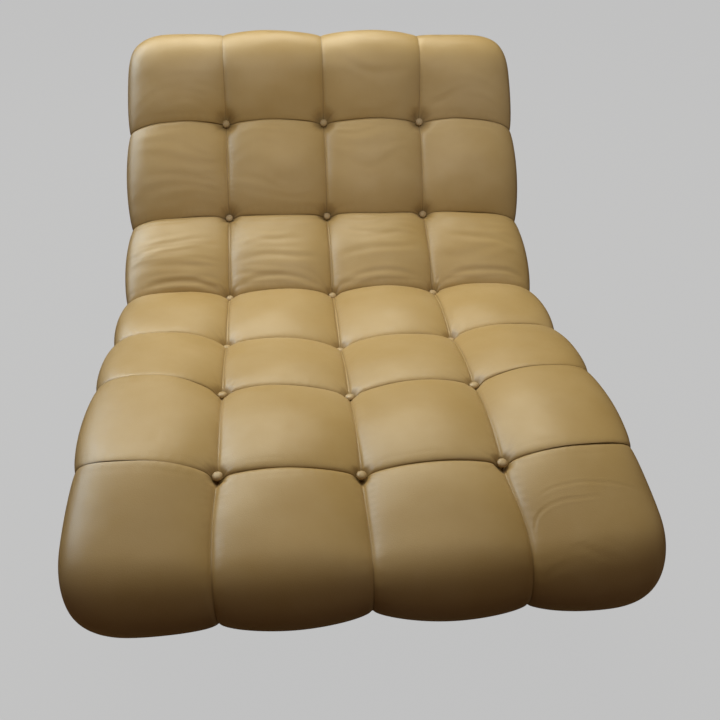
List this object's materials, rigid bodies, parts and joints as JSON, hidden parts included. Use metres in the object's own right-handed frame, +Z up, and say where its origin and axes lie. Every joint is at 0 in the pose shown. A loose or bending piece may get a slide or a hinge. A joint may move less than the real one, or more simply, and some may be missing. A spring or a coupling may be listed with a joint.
{
  "type": "leather lounge chair",
  "caption": "Armless low lounge chair: a wave-shaped tufted leather pad with buttons, on a recessed steel base with levelling feet.",
  "frame": {"origin": "on the floor, below the middle of the bounding box", "axes": "+X to the sitter's left, +Y to the back, +Z up; the sitter faces -Y"},
  "size_m": [0.747, 1.1117, 0.6501],
  "materials": {
    "leather": "satin",
    "foam": "matte",
    "webbing": "matte",
    "frame_steel": "satin",
    "base_steel": "satin",
    "zinc_steel": "satin",
    "black_plastic": "matte",
    "twine": "matte",
    "washer": "matte"
  },
  "bodies": {
    "chair": {"tuft_row_1": "leather", "tuft_row_2": "leather", "tuft_row_3": "leather", "tuft_row_4": "leather", "tuft_row_5": "leather", "tuft_row_6": "leather", "tuft_row_7": "leather", "buttons_row_1": "leather", "buttons_row_2": "leather", "buttons_row_3": "leather", "buttons_row_4": "leather", "buttons_row_5": "leather", "buttons_row_6": "leather", "back_cover": "leather", "seat_cover": "leather", "side_welt_left": "leather", "side_welt_right": "leather", "back_foam": "foam", "seat_foam": "foam", "back_underlay": "foam", "seat_underlay": "foam", "back_straps": "webbing", "seat_straps": "webbing", "side_tube_left": "frame_steel", "side_tube_right": "frame_steel", "crest_tube": "frame_steel", "lumbar_tube": "frame_steel", "seat_rear_tube": "frame_steel", "seat_front_tube": "frame_steel", "nose_tube": "frame_steel", "frame_bosses": "frame_steel", "rail_left": "base_steel", "rail_right": "base_steel", "base_bar_front": "base_steel", "base_bar_rear": "base_steel", "leg_front_left": "base_steel", "leg_front_right": "base_steel", "leg_rear_left": "base_steel", "leg_rear_right": "base_steel", "base_bolts": "zinc_steel", "leg_inserts": "zinc_steel", "rail_caps": "black_plastic", "tufting_twines": "twine", "twine_washers": "washer"},
    "foot_front_left": {"foot_pad_front_left": "black_plastic", "foot_stud_front_left": "zinc_steel"},
    "foot_front_right": {"foot_pad_front_right": "black_plastic", "foot_stud_front_right": "zinc_steel"},
    "foot_rear_left": {"foot_pad_rear_left": "black_plastic", "foot_stud_rear_left": "zinc_steel"},
    "foot_rear_right": {"foot_pad_rear_right": "black_plastic", "foot_stud_rear_right": "zinc_steel"}
  },
  "joints": [
    {"name": "foot_front_left_screw", "type": "slide", "parent": "chair", "child": "foot_front_left", "axis": [0, 0, -1], "range_m": [0, 0.01]},
    {"name": "foot_front_right_screw", "type": "slide", "parent": "chair", "child": "foot_front_right", "axis": [0, 0, -1], "range_m": [0, 0.01]},
    {"name": "foot_rear_left_screw", "type": "slide", "parent": "chair", "child": "foot_rear_left", "axis": [0, 0, -1], "range_m": [0, 0.01]},
    {"name": "foot_rear_right_screw", "type": "slide", "parent": "chair", "child": "foot_rear_right", "axis": [0, 0, -1], "range_m": [0, 0.01]}
  ]
}
